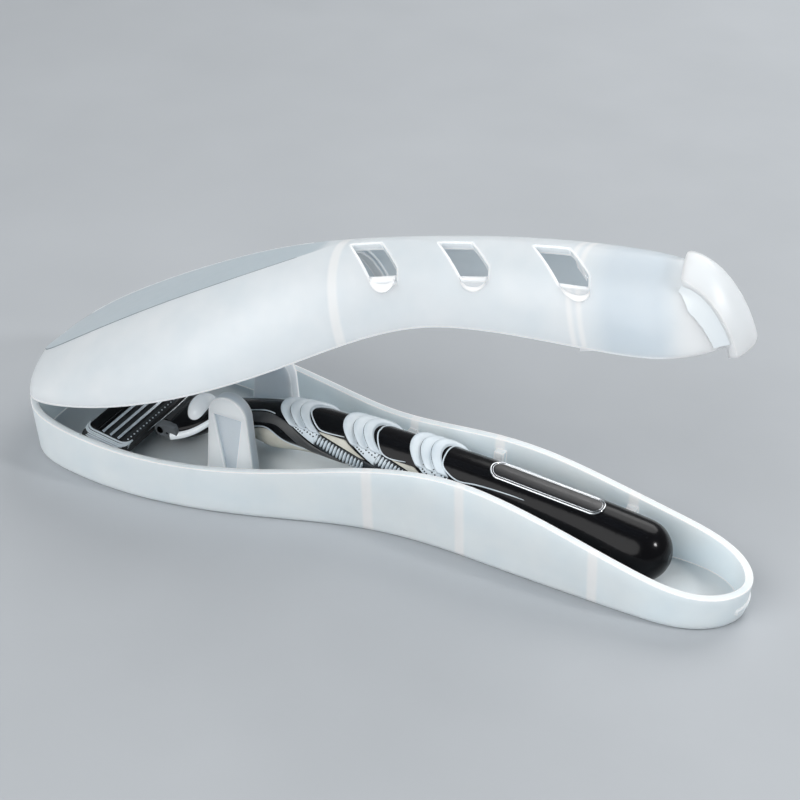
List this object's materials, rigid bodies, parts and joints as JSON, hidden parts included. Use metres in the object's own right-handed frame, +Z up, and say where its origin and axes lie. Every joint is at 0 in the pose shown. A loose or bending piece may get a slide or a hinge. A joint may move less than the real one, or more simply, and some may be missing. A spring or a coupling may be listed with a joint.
{
  "type": "razor travel case",
  "caption": "Long frosted travel case with a hinged, vented lid, standing half open on the razor stored in its tray; the razor has a pivoting cartridge and a release button.",
  "frame": {"origin": "on the table under the middle of the case's length, on its centre plane", "axes": "+X from the hinge end to the tip, -Y the front as seen in the picture, +Z up"},
  "size_m": [0.182, 0.0546, 0.0845],
  "materials": {
    "case_plastic": "frosted translucent polypropylene",
    "handle_plastic": "gloss black",
    "neck_plastic": "gloss black",
    "grip_rubber": "matte moulded rubber",
    "plaque_plate": "gloss black, bare",
    "pad_rubber": "matte moulded rubber",
    "button_plastic": "pale gloss",
    "inner_plastic": "moulded",
    "spring_steel": "drawn wire",
    "cartridge_plastic": "satin black",
    "guard_rubber": "ribbed",
    "lubricant": "smooth",
    "blade_steel": "ground edge",
    "clip_metal": "bright"
  },
  "bodies": {
    "tray": {"base_tray": "case_plastic", "hinge_web": "case_plastic", "handle_core": "handle_plastic", "neck_housing": "neck_plastic", "grip_fins_front": "grip_rubber", "grip_fins_middle": "grip_rubber", "grip_fins_rear": "grip_rubber", "side_grip_near": "grip_rubber", "side_grip_far": "grip_rubber", "handle_plaque": "plaque_plate", "underside_pad": "pad_rubber", "button_spring": "spring_steel", "plunger_spring": "spring_steel"},
    "lid": {"lid_shell": "case_plastic"},
    "cartridge": {"cartridge_hub": "cartridge_plastic", "cartridge_frame": "cartridge_plastic", "guard_strip": "guard_rubber", "lubricating_strip": "lubricant", "blade_1": "blade_steel", "blade_2": "blade_steel", "blade_3": "blade_steel", "end_clip_near": "clip_metal", "end_clip_far": "clip_metal"},
    "button": {"release_button": "button_plastic", "ejector_slide": "inner_plastic"},
    "plunger": {"plunger": "inner_plastic"}
  },
  "joints": [
    {"name": "lid_hinge", "type": "hinge", "parent": "tray", "child": "lid", "pos_m": [-0.0903, 0, 0.01422], "axis": [0, -1, 0], "range_deg": [-19.43, 150], "deforming": ["hinge_web"]},
    {"name": "cartridge_pivot", "type": "hinge", "parent": "tray", "child": "cartridge", "pos_m": [-0.0564, 0, 0.0072], "axis": [0, -1, 0], "range_deg": [0, 19], "stiffness_Nm_per_rad": 0.01, "springref_deg": -8.59},
    {"name": "plunger_slide", "type": "slide", "parent": "tray", "child": "plunger", "axis": [1, 0, 0], "range_m": [0, 0.0008], "deforming": ["plunger_spring"]},
    {"name": "button_slide", "type": "slide", "parent": "tray", "child": "button", "axis": [-1, 0, 0], "range_m": [0, 0.0025], "stiffness_N_per_m": 300, "springref_m": -0.001, "deforming": ["button_spring"]}
  ],
  "couplings": [
    {"joint": "plunger_slide", "follows": "cartridge_pivot", "m_per_rad": 0.0022}
  ]
}
